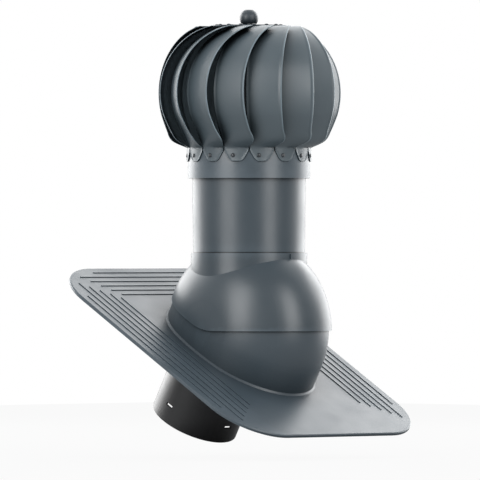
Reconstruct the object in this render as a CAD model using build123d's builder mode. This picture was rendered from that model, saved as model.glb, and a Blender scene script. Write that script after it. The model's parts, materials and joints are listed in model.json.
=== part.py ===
from build123d import *
from math import asin, atan2, cos, degrees, hypot, radians, sin, sqrt, tan
import os

os.makedirs("parts", exist_ok=True)

# Roof turbine ventilator on a roof outlet of adjustable pitch. Millimetres and degrees.
# +Z is the turbine's axis. The eaves run along X and the roof falls towards -Y. The origin is the
# point where the turbine's axis meets the roof plane.

# Roof and swivel axis
roof_pitch = 30.0
pivot_height = 38.0  # swivel axis above the roof plane, square to it

# Flashing plate with its water bars
plate_width = 366.0
plate_length = 458.0
plate_corner = 80.0
plate_thickness = 4.4
plate_edge_chamfer = 1.2
bar_count = 6
bar_first = 13.0  # outermost bar from the plate's edge
bar_clearance = 17.5  # innermost bar from the crown's side
bar_width = 1.4
bar_height = 1.0
bar_outer_start = 76.7  # end of the outermost bar from the crossing edge
bar_start = 41.7
bar_start_step = 10.1

# Crown: an oval wall, turned over the swivel axis as a dome
crown_half_width = 92.0
crown_half_length = 123.8
crown_wall = 2.8
end_radius = 82.0
side_radius = 266.0
end_angle = 38.0
crown_front_edge = 46.0  # dome edge above the downslope direction
crown_back_edge = 27.0  # dome edge above the upslope direction
crown_foot_chamfer = 2.5
ledge_width = 10.0

# Rubber seals along the crown's front and back edges
seal_gap = 0.3  # hood over seal
seal_seat = 0.25  # seal over crown
seal_angle = 6.0
seal_half_width = 84.0

# Duct spigot, square to the roof
spigot_radius = 62.5
spigot_wall = 3.0
spigot_upslope = 29.7
spigot_length = 127.3  # below the roof plane
spigot_flange = 3.0
flange_gap = 0.3
slot_width = 12.5
slot_height = 3.7
slot_from_end = 25.0
slot_count = 4
fastener_sides = 8  # facets round a rivet, a screw or its hole
flange_screw_radius = 2.0
flange_screw_head_radius = 4.0
flange_screw_head = 2.4
pin_reach = 0.6  # flange screws end this far above the roof plane

# Swivel hood
hood_gap = 1.9  # hood over crown
hood_wall = 2.0
rim_level = -1.5  # front rim from the swivel axis
rim_slope = 26.5
rim_corner = -2.5  # where the back rim starts to rise
rim_round = 90.0
collar_radius = 81.4
collar_draft = 0.5
collar_top = 107.0
collar_round = 1.5
seat_width = 1.6
seat_height = 2.5
socket_gap = 0.3
hood_collar_foot = 30.0  # the collar starts inside the dome
mark_width = 1.2
mark_height = 6.5
mark_proud = 0.6

# Outer pipe, inner duct and insulation
pipe_radius = 80.0  # at the top
pipe_draft = 0.7
pipe_wall = 2.5
pipe_top = 236.0
web_height = 3.0
duct_radius = 62.5
duct_wall = 2.0
duct_lip = 1.8
sleeve_gap = 0.2
sleeve_top = 222.0

# Axle bracket
bracket_plate = 3.0
bracket_lip = 1.0
arm_count = 3
arm_width = 14.0
skirt_wall = 2.5
skirt_depth = 12.0
boss_radius = 12.0
boss_below = 6.0
boss_above = 5.0
bracket_screw_count = 4
bracket_screw_radius = 1.8
bracket_screw_head_radius = 3.6
bracket_screw_head = 1.8

# Axle, nuts and bearings
axle_radius = 7.0
axle_thread_radius = 5.0
washer_radius = 10.5
washer_height = 1.5
nut_across_flats = 16.0
nut_height = 8.0
thread_end = 3.5
bearing_bore_radius = 5.0
bearing_outer_radius = 15.0
bearing_width = 9.0
bearing_split_radius = 8.5
bearing_running_gap = 0.06
bearing_spacing = 17.0
spacer_wall = 2.0
top_nut_across_flats = 14.0
top_nut_height = 5.0
lower_bearing_level = 374.0
circlip_height = 1.5
circlip_bite = 0.8
circlip_width = 2.6

# Hub, top disc and knob
hub_radius = 18.5
hub_tail = 2.0
hub_flange_radius = 30.0
hub_flange = 3.0
nut_pocket_radius = 10.0
nut_pocket_gap = 1.0
disc_radius = 53.0
disc_thickness = 1.5
disc_level = 424.2
knob_radius = 13.0
knob_centre = 435.5
knob_facets = 6  # turned bands from the disc to the ball's top
stud_radius = 4.0
stud_length = 8.0
hub_rivet_count = 4
hub_rivet_circle = 24.0

# Rotor: collar, vanes and rivets
vane_count = 15
first_vane = 18.1
collar_gap = 4.7  # rotor collar round the pipe
sheet = 0.8
rotor_collar_bottom = 211.5
rotor_collar_top = 249.5
equator = 331.0
vane_turn = 19.0  # blades lean back from square to the radius
vane_arc_centre = 15.4
vane_arc_radius = 94.9
vane_inner = 14.1  # inner long edge from the line through the axis
vane_width = 51.0
vane_corner_level = 403.0  # inner edge is cut back above this
tab_inner = 25.0
tab_width = 27.0
tab_reach = 27.0
rivet_level = 243.0
rivet_head_radius = 2.9
rivet_head = 1.5
rivet_radius = 1.6
rivet_head_taper = 25.0
rivet_tail = 1.0
disc_rivet_circle = 45.0
petal_gap = 0.1
petal_thickness = 0.9
petal_start = -8.2
petal_sweep = 22.5
petal_top = 253.5
petal_corner = 249.5
petal_bottom = 235.0
petal_toe_width = 17.0
petal_round = 6.0
# Lower blade: (share of the way up to the split, inner radius, inner angle, outer radius, outer angle)
blade_sections = [
    (0.57, 97.2, -10.6, 116.0, 15.2),
    (0.2366, 90.6, -9.6, 108.0, 18.3),
]
blade_split_drop = 31.0  # start of the sections, below the equator

# Derived planes and places
blade_split = equator - blade_split_drop
bar_room = plate_width / 2 - crown_half_width - bar_clearance
bar_step = (bar_room - bar_first) / (bar_count - 1)
pitch_sin = sin(radians(roof_pitch))
pitch_cos = cos(radians(roof_pitch))
pivot_z = pivot_height / pitch_cos
pivot = Vector(0, 0, pivot_z)
swivel_axis = Axis(pivot, (1, 0, 0))
roof_origin = (0, pivot_height * pitch_sin, pivot_z - pivot_height * pitch_cos)
roof = Plane(origin=roof_origin, x_dir=(1, 0, 0), z_dir=(0, -pitch_sin, pitch_cos))
swivel_plane = roof.offset(pivot_height)
roof_section = Plane(origin=pivot, x_dir=(0, -pitch_cos, -pitch_sin), z_dir=(-1, 0, 0))
side_section = Plane(origin=pivot, x_dir=(0, 1, 0), z_dir=(1, 0, 0))
beyond = crown_half_length + plate_width


def level(height):
    """Z of a height above the swivel axis."""
    return pivot_z + height


def save(builder, name):
    """Labels a finished piece and writes it."""
    builder.part.label = name
    export_step(builder.part, f"parts/{name}.step")


# Oval outline: an end arc, a corner arc and a side arc in each quarter, tangent to each other
end_centre = crown_half_length - end_radius
side_centre = crown_half_width - side_radius
end_normal = (sin(radians(end_angle)), cos(radians(end_angle)))
join_x = end_radius * end_normal[0] - side_centre
join_y = end_centre + end_radius * end_normal[1]
join_reach = join_x * end_normal[0] + join_y * end_normal[1]
corner_radius = (join_x**2 + join_y**2 - side_radius**2) / (2 * (join_reach - side_radius))
corner_x = (end_radius - corner_radius) * end_normal[0]
corner_y = end_centre + (end_radius - corner_radius) * end_normal[1]
side_angle = degrees(atan2(corner_y, corner_x - side_centre))


def quarter_oval(offset):
    """Draws the quarter of the oval with positive x and y, moved outwards by offset."""
    CenterArc((0, end_centre), end_radius + offset, 90 - end_angle, end_angle)
    corner_arc = 90 - end_angle - side_angle
    CenterArc((corner_x, corner_y), corner_radius + offset, side_angle, corner_arc)
    CenterArc((side_centre, 0), side_radius + offset, 0, side_angle)
    mirror(about=Plane.YZ)


def oval_half(plane, offset):
    """Returns a sketch of the oval's half with positive y, for a dome."""
    with BuildSketch(plane) as sketch:
        with BuildLine():
            quarter_oval(offset)
            half_width = crown_half_width + offset
            Line((-half_width, 0), (half_width, 0))
        make_face()
    return sketch.sketch


def oval(plane, offset):
    """Returns a sketch of the whole oval."""
    with BuildSketch(plane) as sketch:
        with BuildLine():
            quarter_oval(offset)
            mirror(about=Plane.XZ)
        make_face()
    return sketch.sketch


def turned(profile):
    """Returns a profile of (radius, height) corners, turned about the turbine's axis."""
    with BuildPart() as piece:
        with BuildSketch(Plane.XZ):
            with BuildLine():
                Polyline(*[(radius, level(height)) for radius, height in profile], close=True)
            make_face()
        revolve(axis=Axis.Z)
    return piece


def tube(outer, inner, bottom, top):
    """Returns a plain tube on the turbine's axis."""
    return turned([(inner, bottom), (outer, bottom), (outer, top), (inner, top)])


def across(height):
    """Returns the level plane at a height."""
    return Plane.XY.offset(level(height))


def round_section(radius, mode=Mode.ADD):
    """Draws the section of a rivet, a screw or its hole."""
    RegularPolygon(radius, fastener_sides, mode=mode)


# Flange screws: one on the ledge in the middle of each side
flange_screw_inset = crown_wall + ledge_width / 2
flange_screw_places = []
for side in (-1, 1):
    flange_screw_places.append((side * (crown_half_width - flange_screw_inset), 0))
    flange_screw_places.append((0, side * (crown_half_length - flange_screw_inset)))

# Pipe seat and duct mouth: everything in the hood stays outside the sweep of its own inner face
sweep_radius = crown_half_length + hood_gap
pipe_draft_slope = tan(radians(pipe_draft))
pipe_foot_radius = pipe_radius - (pipe_top - collar_top) * pipe_draft_slope
socket_radius = pipe_foot_radius + socket_gap
seat_radius = socket_radius - seat_width
seat_under = sqrt(sweep_radius**2 - seat_radius**2)
pipe_seat = seat_under + seat_height


# Flashing base: plate, water bars, crown and the inner ledge for the spigot
with BuildPart() as flashing_base:
    with BuildSketch(roof):
        RectangleRounded(plate_width, plate_length, plate_corner)
    extrude(amount=plate_thickness)
    chamfer(flashing_base.faces().sort_by(Axis(roof.origin, roof.z_dir))[-1].edges(), plate_edge_chamfer)
    with BuildSketch(roof.offset(plate_thickness)):
        for number in range(bar_count):
            inset = bar_first + number * bar_step
            start = bar_outer_start if number == 0 else bar_start + (number - 1) * bar_start_step
            with Locations((0, plate_length / 2 - inset)):
                Rectangle(plate_width - 2 * start, bar_width)
            with Locations((plate_width / 2 - inset, 0), (inset - plate_width / 2, 0)):
                Rectangle(bar_width, plate_length - 2 * start)
    extrude(amount=bar_height)
    extrude(oval(roof, 0), amount=pivot_height)
    revolve(oval_half(swivel_plane, 0), swivel_axis, 180)
    cavity = oval(roof.offset(plate_thickness), -crown_wall)
    extrude(cavity, amount=pivot_height - plate_thickness, mode=Mode.SUBTRACT)
    revolve(oval_half(swivel_plane, -crown_wall), swivel_axis, 180, mode=Mode.SUBTRACT)
    extrude(oval(roof, -crown_wall - ledge_width), amount=plate_thickness, mode=Mode.SUBTRACT)
    front = (beyond * cos(radians(crown_front_edge)), beyond * sin(radians(crown_front_edge)))
    back = (-beyond * cos(radians(crown_back_edge)), beyond * sin(radians(crown_back_edge)))
    with BuildSketch(roof_section):
        with BuildLine():
            Polyline((0, 0), front, (front[0], beyond), (back[0], beyond), back, close=True)
        make_face()
    extrude(amount=crown_half_width, both=True, mode=Mode.SUBTRACT)
    foot = roof.offset(plate_thickness)
    foot_edges = flashing_base.edges().filter_by(
        lambda edge: abs(foot.to_local_coords(edge.center()).Z) < 0.01
        and edge.geom_type == GeomType.CIRCLE
        and min(abs(edge.radius - size) for size in (end_radius, corner_radius, side_radius)) < 0.01
    )
    chamfer(foot_edges, crown_foot_chamfer)
    with BuildSketch(roof):
        with Locations(*flange_screw_places):
            round_section(flange_screw_radius)
    extrude(amount=plate_thickness, mode=Mode.SUBTRACT)
save(flashing_base, "flashing_base")

# Duct spigot: a flange on the ledge inside the crown and a slotted pipe square to the roof
with BuildPart() as duct_spigot:
    extrude(oval(roof.offset(plate_thickness), -crown_wall - flange_gap), amount=spigot_flange)
    with BuildSketch(roof.offset(plate_thickness + spigot_flange)):
        with Locations((0, spigot_upslope)):
            Circle(spigot_radius)
    extrude(amount=-plate_thickness - spigot_flange - spigot_length)
    with BuildSketch(roof.offset(plate_thickness + spigot_flange)):
        with Locations((0, spigot_upslope)):
            Circle(spigot_radius - spigot_wall)
    extrude(amount=-plate_thickness - spigot_flange - spigot_length, mode=Mode.SUBTRACT)
    slot_ring = roof.offset(slot_from_end - spigot_length)
    with BuildSketch(slot_ring):
        with Locations((0, spigot_upslope)):
            Rectangle(beyond, slot_width)
            Rectangle(slot_width, beyond)
    extrude(amount=slot_height / 2, both=True, mode=Mode.SUBTRACT)
    with BuildSketch(roof.offset(plate_thickness)):
        with Locations(*flange_screw_places):
            round_section(flange_screw_radius)
    extrude(amount=spigot_flange, mode=Mode.SUBTRACT)
save(duct_spigot, "duct_spigot")

with BuildPart() as spigot_screws:
    with BuildSketch(roof.offset(pin_reach)):
        with Locations(*flange_screw_places):
            round_section(flange_screw_radius)
    extrude(amount=plate_thickness + spigot_flange - pin_reach)
    with BuildSketch(roof.offset(plate_thickness + spigot_flange)):
        with Locations(*flange_screw_places):
            round_section(flange_screw_head_radius)
    extrude(amount=flange_screw_head)
save(spigot_screws, "spigot_screws")

# Dome seals: two rubber strips on the crown, along the edges of its mouth
back_seal_start = crown_back_edge - seal_angle
front_seal_start = 180 - crown_front_edge
with BuildPart() as dome_seals:
    for start in (back_seal_start, front_seal_start):
        seal_plane = swivel_plane.rotated((start, 0, 0))
        revolve(oval_half(seal_plane, hood_gap - seal_gap), swivel_axis, seal_angle)
        revolve(oval_half(seal_plane, seal_seat), swivel_axis, seal_angle, mode=Mode.SUBTRACT)
    with Locations(pivot):
        Box(2 * seal_half_width, 2 * beyond, 2 * beyond, mode=Mode.INTERSECT)
save(dome_seals, "dome_seals")

# Swivel hood: the crown's form one wall larger, a collar for the pipe and a rim that clears the roof
with BuildPart() as swivel_hood:
    revolve(oval_half(swivel_plane, hood_gap + hood_wall), swivel_axis, 360)
    collar_foot = collar_radius + (collar_top - hood_collar_foot) * tan(radians(collar_draft))
    collar_side = [(collar_foot, hood_collar_foot), (collar_radius, collar_top)]
    add(turned([(0, hood_collar_foot), *collar_side, (0, collar_top)]))
    top_edge = swivel_hood.faces().sort_by(Axis.Z)[-1].edges()
    fillet(top_edge, collar_round)
    with Locations((0, mark_proud - collar_radius, level(collar_top - collar_round - mark_height / 2))):
        Box(mark_width, 4 * mark_proud, mark_height, align=(Align.CENTER, Align.MAX, Align.CENTER))
    revolve(oval_half(swivel_plane, hood_gap), swivel_axis, 360, mode=Mode.SUBTRACT)
    with BuildSketch(side_section):
        with BuildLine():
            rise = (beyond - rim_corner) * tan(radians(rim_slope))
            Polyline(
                (-beyond, -beyond),
                (beyond, -beyond),
                (beyond, rim_level + rise),
                (rim_corner, rim_level),
                (-beyond, rim_level),
                close=True,
            )
        make_face()
        rim_bend = side_section.from_local_coords((rim_corner, rim_level))
        fillet(vertices().sort_by_distance(rim_bend)[0], rim_round)
    extrude(amount=beyond, both=True, mode=Mode.SUBTRACT)
    add(turned([(0, 0), (seat_radius, 0), (seat_radius, pipe_seat), (0, pipe_seat)]), mode=Mode.SUBTRACT)
    socket = turned([(0, pipe_seat), (socket_radius, pipe_seat), (socket_radius, beyond), (0, beyond)])
    add(socket, mode=Mode.SUBTRACT)
save(swivel_hood, "swivel_hood")

# Outer pipe: a drafted tube with a web at its foot that carries the inner duct and the insulation
pipe_top_inner = pipe_radius - pipe_wall
pipe_seat_radius = pipe_radius - (pipe_top - pipe_seat) * pipe_draft_slope
pipe_seat_inner = pipe_seat_radius - pipe_wall
bore_radius = duct_radius - duct_lip
web_level = sqrt(sweep_radius**2 - bore_radius**2)
web_top = web_level + web_height
web_radius = pipe_radius - pipe_wall - (pipe_top - web_level) * pipe_draft_slope
web_top_radius = pipe_radius - pipe_wall - (pipe_top - web_top) * pipe_draft_slope
screw_level = pipe_top - skirt_depth / 2
bracket_screw_places = PolarLocations(0, bracket_screw_count, start_angle=45)
with BuildPart() as outer_pipe:
    profile = [
        (pipe_seat_inner, pipe_seat),
        (pipe_seat_radius, pipe_seat),
        (pipe_radius, pipe_top),
        (pipe_top_inner, pipe_top),
        (web_top_radius, web_top),
        (bore_radius, web_top),
        (bore_radius, web_level),
        (web_radius, web_level),
    ]
    add(turned(profile))
    with BuildSketch(Plane.YZ.offset(duct_radius)):
        with Locations((0, level(screw_level))):
            round_section(bracket_screw_radius)
    screw_hole = extrude(amount=pipe_radius, mode=Mode.PRIVATE)
    with bracket_screw_places:
        add(screw_hole, mode=Mode.SUBTRACT)
save(outer_pipe, "outer_pipe")

save(tube(duct_radius, duct_radius - duct_wall, web_top, pipe_top), "inner_duct")

sleeve_foot = web_top_radius - sleeve_gap
sleeve_head = pipe_top_inner - (pipe_top - sleeve_top) * pipe_draft_slope - sleeve_gap
sleeve_profile = [
    (duct_radius, web_top),
    (sleeve_foot, web_top),
    (sleeve_head, sleeve_top),
    (duct_radius, sleeve_top),
]
save(turned(sleeve_profile), "insulation_sleeve")

# Axle bracket: a ring on the pipe's mouth with a skirt inside it, arms and a boss for the axle
skirt_foot = pipe_top - skirt_depth
skirt_radius = pipe_top_inner - skirt_depth * pipe_draft_slope
boss_bottom = pipe_top - boss_below
boss_top = pipe_top + bracket_plate + boss_above
with BuildPart() as axle_bracket:
    add(tube(pipe_radius + bracket_lip, duct_radius - duct_wall, pipe_top, pipe_top + bracket_plate))
    add(tube(skirt_radius, skirt_radius - skirt_wall, skirt_foot, pipe_top))
    with BuildSketch(across(pipe_top)):
        with PolarLocations(0, arm_count, start_angle=90):
            Rectangle(duct_radius, arm_width, align=(Align.MIN, Align.CENTER))
    extrude(amount=bracket_plate)
    add(turned([(0, boss_bottom), (boss_radius, boss_bottom), (boss_radius, boss_top), (0, boss_top)]))
    add(tube(axle_thread_radius, 0, boss_bottom, boss_top), mode=Mode.SUBTRACT)
    with bracket_screw_places:
        add(screw_hole, mode=Mode.SUBTRACT)
save(axle_bracket, "axle_bracket")

# Bracket screws, driven through the pipe's wall into the skirt
screw_head_seat = pipe_radius - (skirt_depth / 2 - bracket_screw_head_radius) * pipe_draft_slope
with BuildPart() as bracket_screws:
    with BuildSketch(Plane.YZ.offset(skirt_radius - skirt_wall)):
        with Locations((0, level(screw_level))):
            round_section(bracket_screw_radius)
    shank = extrude(amount=screw_head_seat - skirt_radius + skirt_wall, mode=Mode.PRIVATE)
    with BuildSketch(Plane.YZ.offset(screw_head_seat)):
        with Locations((0, level(screw_level))):
            round_section(bracket_screw_head_radius)
    head = extrude(amount=bracket_screw_head, mode=Mode.PRIVATE)
    with bracket_screw_places:
        add(shank + head)
save(bracket_screws, "bracket_screws")

# Axle, with its thread through the bracket and its journals in the two bearings
axle_shoulder = boss_top + washer_height
upper_bearing_level = lower_bearing_level + bearing_width + bearing_spacing
bearings_top = upper_bearing_level + bearing_width
lower_nut_top = boss_bottom - washer_height
axle_profile = [
    (0, lower_nut_top - nut_height - thread_end),
    (axle_thread_radius, lower_nut_top - nut_height - thread_end),
    (axle_thread_radius, axle_shoulder),
    (axle_radius, axle_shoulder),
    (axle_radius, lower_bearing_level),
    (bearing_bore_radius, lower_bearing_level),
    (bearing_bore_radius, bearings_top + top_nut_height),
    (0, bearings_top + top_nut_height),
]
save(turned(axle_profile), "axle")

with BuildPart() as axle_washers:
    add(tube(washer_radius, axle_thread_radius, boss_top, axle_shoulder))
    add(tube(washer_radius, axle_thread_radius, lower_nut_top, boss_bottom))
save(axle_washers, "axle_washers")

with BuildPart() as axle_nut:
    with BuildSketch(across(lower_nut_top)):
        RegularPolygon(nut_across_flats / 2, 6, major_radius=False)
        Circle(axle_thread_radius, mode=Mode.SUBTRACT)
    extrude(amount=-nut_height)
save(axle_nut, "axle_nut")

with BuildPart() as axle_top_nut:
    with BuildSketch(across(bearings_top)):
        RegularPolygon(top_nut_across_flats / 2, 6, major_radius=False)
        Circle(bearing_bore_radius, mode=Mode.SUBTRACT)
    extrude(amount=top_nut_height)
save(axle_top_nut, "axle_top_nut")

# Two sealed bearings, each as its inner and outer half, and the spacers between them
for place, foot_level in (("lower", lower_bearing_level), ("upper", upper_bearing_level)):
    head_level = foot_level + bearing_width
    save(
        tube(bearing_split_radius, bearing_bore_radius, foot_level, head_level),
        f"{place}_bearing_inner",
    )
    save(
        tube(bearing_outer_radius, bearing_split_radius + bearing_running_gap, foot_level, head_level),
        f"{place}_bearing_outer",
    )
spacer_foot = lower_bearing_level + bearing_width
save(
    tube(bearing_bore_radius + spacer_wall, bearing_bore_radius, spacer_foot, upper_bearing_level),
    "inner_spacer",
)
save(
    tube(bearing_outer_radius, bearing_outer_radius - spacer_wall, spacer_foot, upper_bearing_level),
    "outer_spacer",
)

# Bearing hub: a flanged housing under the top disc, closed above the bearings
circlip_top = lower_bearing_level
circlip_foot = circlip_top - circlip_height
pocket_top = bearings_top + top_nut_height + nut_pocket_gap
groove_radius = bearing_outer_radius + circlip_bite
hub_profile = [
    (bearing_outer_radius, circlip_foot - hub_tail),
    (hub_radius, circlip_foot - hub_tail),
    (hub_radius, disc_level - hub_flange),
    (hub_flange_radius, disc_level - hub_flange),
    (hub_flange_radius, disc_level),
    (stud_radius, disc_level),
    (stud_radius, pocket_top),
    (nut_pocket_radius, pocket_top),
    (nut_pocket_radius, bearings_top),
    (bearing_outer_radius, bearings_top),
    (bearing_outer_radius, circlip_top),
    (groove_radius, circlip_top),
    (groove_radius, circlip_foot),
    (bearing_outer_radius, circlip_foot),
]
hub_rivet_places = PolarLocations(hub_rivet_circle, hub_rivet_count, start_angle=45)
with BuildPart() as bearing_hub:
    add(turned(hub_profile))
    with BuildSketch(across(disc_level)):
        with hub_rivet_places:
            round_section(rivet_radius)
    extrude(amount=-hub_flange, mode=Mode.SUBTRACT)
save(bearing_hub, "bearing_hub")

with BuildPart() as bearing_circlip:
    add(tube(groove_radius, groove_radius - circlip_width, circlip_foot, circlip_top))
    with BuildSketch(across(circlip_foot)):
        Rectangle(groove_radius, circlip_width, align=(Align.MIN, Align.CENTER))
    extrude(amount=circlip_height, mode=Mode.SUBTRACT)
save(bearing_circlip, "bearing_circlip")

# Top disc with its rivet holes
rivet_angles = [first_vane + number * 360 / vane_count for number in range(vane_count)]
disc_top = disc_level + disc_thickness
disc_rivet_places = PolarLocations(disc_rivet_circle, vane_count, start_angle=first_vane)
with BuildPart() as top_disc:
    with BuildSketch(across(disc_level)):
        Circle(disc_radius)
        Circle(stud_radius, mode=Mode.SUBTRACT)
        with disc_rivet_places:
            round_section(rivet_radius, mode=Mode.SUBTRACT)
        with hub_rivet_places:
            round_section(rivet_radius, mode=Mode.SUBTRACT)
    extrude(amount=disc_thickness)
save(top_disc, "top_disc")

# Ball knob, turned in bands, with a stud down into the hub
stud_foot = disc_level - stud_length
knob_foot_angle = degrees(asin((disc_top - knob_centre) / knob_radius))
knob_profile = [(0, stud_foot), (stud_radius, stud_foot), (stud_radius, disc_top)]
for band in range(knob_facets):
    turn = radians(knob_foot_angle + band * (90 - knob_foot_angle) / knob_facets)
    knob_profile.append((knob_radius * cos(turn), knob_centre + knob_radius * sin(turn)))
knob_profile.append((0, knob_profile[-1][1]))
ball_knob = turned(knob_profile)
save(ball_knob, "ball_knob")

# Rotor collar round the pipe's mouth, with a hole behind each vane's petal
rotor_collar_inner = pipe_radius + collar_gap
rotor_collar_radius = rotor_collar_inner + sheet
with BuildPart() as rotor_collar:
    add(tube(rotor_collar_radius, rotor_collar_inner, rotor_collar_bottom, rotor_collar_top))
    with BuildSketch(Plane.YZ.offset(pipe_radius)):
        with Locations((0, level(rivet_level))):
            round_section(rivet_radius)
    petal_hole = extrude(amount=pipe_radius, mode=Mode.PRIVATE)
    with PolarLocations(0, vane_count, start_angle=first_vane):
        add(petal_hole, mode=Mode.SUBTRACT)
save(rotor_collar, "rotor_collar")


def lean_planes(azimuth):
    """Returns a blade's section plane and its face-on plane, leaned back from the radius."""
    lean = radians(azimuth - vane_turn)
    out = Vector(cos(lean), sin(lean), 0)
    along = Vector(-sin(lean), cos(lean), 0)
    middle = (0, 0, level(equator))
    return Plane(origin=middle, x_dir=out, z_dir=-along), Plane(origin=middle, x_dir=along, z_dir=out)


def petal_slice(azimuth, height):
    """Returns a level slice of the petal's sheet, a sector of a ring round the turbine's axis."""
    with BuildSketch(across(height)) as slice_sketch:
        with BuildLine():
            start = azimuth + petal_start
            inner_arc = CenterArc((0, 0), petal_inner, start, petal_sweep)
            outer_arc = CenterArc((0, 0), petal_inner + petal_thickness, start, petal_sweep)
            Line(inner_arc @ 0, outer_arc @ 0)
            Line(inner_arc @ 1, outer_arc @ 1)
        make_face()
    return slice_sketch.sketch


def blade_reach(height, radius):
    """Distance of the blade's arc of this radius from the axis, in the section plane."""
    return vane_arc_centre + sqrt(radius**2 - (height - equator) ** 2)


def blade_section(azimuth, height, inner, outer):
    """Returns a level slice of the lower blade, from its inner to its outer edge point."""
    thickness = blade_reach(height, vane_arc_radius + sheet / 2)
    thickness -= blade_reach(height, vane_arc_radius - sheet / 2)
    start = Vector(inner[0], 0).rotate(Axis.Z, azimuth + inner[1])
    end = Vector(outer[0], 0).rotate(Axis.Z, azimuth + outer[1])
    through = (end - start).normalized().rotate(Axis.Z, -90) * thickness
    with BuildSketch(across(height)) as slice_sketch:
        with BuildLine():
            Polyline(start, end, end + through, start + through, close=True)
        make_face()
    return slice_sketch.sketch


def petal(azimuth):
    """Returns the petal that laps over the rotor collar, without its rivet hole."""
    face_on = radians(azimuth + petal_start + petal_sweep / 2)
    with BuildPart() as piece:
        extrude(petal_slice(azimuth, petal_bottom), amount=petal_top - petal_bottom)
        middle = (0, 0, level(petal_bottom))
        outward = (cos(face_on), sin(face_on), 0)
        front = Plane(origin=middle, x_dir=(-sin(face_on), cos(face_on), 0), z_dir=outward)
        with BuildSketch(front) as shield:
            with BuildLine():
                half = petal_inner * radians(petal_sweep) / 2
                toe = petal_toe_width / 2
                top = petal_top - petal_bottom
                wide = toe + (half - toe) * top / (petal_corner - petal_bottom)
                Polyline((-toe, 0), (toe, 0), (wide, top), (-wide, top), close=True)
            make_face()
            fillet(shield.vertices().group_by(Axis.Y)[0], petal_round)
        extrude(amount=2 * petal_inner, mode=Mode.INTERSECT)
    return piece.part


# Vanes: a blade bent to an arc, its foot gathered into a petal and its head folded to a tab
petal_inner = rotor_collar_radius + petal_gap
for number, azimuth in enumerate(rivet_angles, start=1):
    section, face_on_plane = lean_planes(azimuth)
    with BuildPart() as vane:
        with BuildSketch(section.offset(-vane_inner - vane_width)):
            with BuildLine():
                foot_angle = degrees(asin((blade_split - equator) / (vane_arc_radius - sheet)))
                outer_arc = CenterArc(
                    (vane_arc_centre, 0), vane_arc_radius + sheet / 2, foot_angle, 90 - foot_angle
                )
                inner_arc = CenterArc(
                    (vane_arc_centre, 0), vane_arc_radius - sheet / 2, foot_angle, 90 - foot_angle
                )
                Line(outer_arc @ 0, inner_arc @ 0)
                Line(outer_arc @ 1, inner_arc @ 1)
            make_face()
        extrude(amount=vane_width)
        split(bisect_by=across(blade_split), keep=Keep.TOP)
        split(bisect_by=across(disc_level), keep=Keep.BOTTOM)
        with BuildSketch(face_on_plane):
            with BuildLine():
                Polyline(
                    (0, vane_corner_level - equator),
                    (vane_inner, vane_corner_level - equator),
                    (tab_inner, disc_level - equator),
                    (0, disc_level - equator),
                    close=True,
                )
            make_face()
        extrude(amount=vane_arc_radius + vane_arc_centre, mode=Mode.SUBTRACT)
        with BuildSketch(section.offset(-tab_inner - tab_width)):
            tab_end = blade_reach(disc_level, vane_arc_radius + sheet / 2)
            with Locations((tab_reach, disc_level - equator)):
                Rectangle(tab_end - tab_reach, sheet, align=(Align.MIN, Align.MAX))
        extrude(amount=tab_width)
        split_inner = blade_reach(blade_split, vane_arc_radius - sheet / 2)
        inner_turn = degrees(atan2(vane_inner, split_inner)) - vane_turn
        outer_turn = degrees(atan2(vane_inner + vane_width, split_inner)) - vane_turn
        first = (hypot(split_inner, vane_inner), inner_turn)
        last = (hypot(split_inner, vane_inner + vane_width), outer_turn)
        slices = [blade_section(azimuth, blade_split, first, last)]
        for share, inner, inner_angle, outer, outer_angle in blade_sections:
            height = petal_top + share * (blade_split - petal_top)
            slices.append(blade_section(azimuth, height, (inner, inner_angle), (outer, outer_angle)))
        loft([*slices, petal_slice(azimuth, petal_top)])
        add(petal(azimuth))
        add(petal_hole, rotation=(0, 0, azimuth), mode=Mode.SUBTRACT)
        with BuildSketch(across(disc_level)):
            with PolarLocations(disc_rivet_circle, 1, start_angle=azimuth + 360 / vane_count):
                round_section(rivet_radius)
        extrude(amount=-2 * sheet, mode=Mode.SUBTRACT)
    save(vane, f"vane_{number:02d}")

# Rivets, each with its head outside and its tail through the sheets
collar_rivet_seat = petal_inner + petal_thickness
with BuildPart() as petal_rivets:
    with BuildSketch(Plane.YZ.offset(rotor_collar_inner - rivet_tail)):
        with Locations((0, level(rivet_level))):
            round_section(rivet_radius)
    shank = extrude(amount=collar_rivet_seat - rotor_collar_inner + rivet_tail, mode=Mode.PRIVATE)
    with BuildSketch(Plane.YZ.offset(collar_rivet_seat)):
        with Locations((0, level(rivet_level))):
            round_section(rivet_head_radius)
    head = extrude(amount=rivet_head, taper=rivet_head_taper, mode=Mode.PRIVATE)
    with PolarLocations(0, vane_count, start_angle=first_vane):
        add(shank + head)
save(petal_rivets, "petal_rivets")

for name, places, depth in (
    ("disc_rivets", disc_rivet_places, sheet + rivet_tail),
    ("hub_rivets", hub_rivet_places, hub_flange + rivet_tail),
):
    with BuildPart() as rivets:
        with BuildSketch(across(disc_top)):
            with places:
                round_section(rivet_radius)
        extrude(amount=-disc_thickness - depth)
        with BuildSketch(across(disc_top)):
            with places:
                round_section(rivet_head_radius)
        extrude(amount=rivet_head, taper=rivet_head_taper)
    save(rivets, name)
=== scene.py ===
"""Looks of the roof turbine ventilator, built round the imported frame."""
import json
import logging
import math
from dataclasses import dataclass
from enum import Enum
from typing import ClassVar, NamedTuple

import bmesh
import bpy
from mathutils import Matrix, Vector


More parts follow.
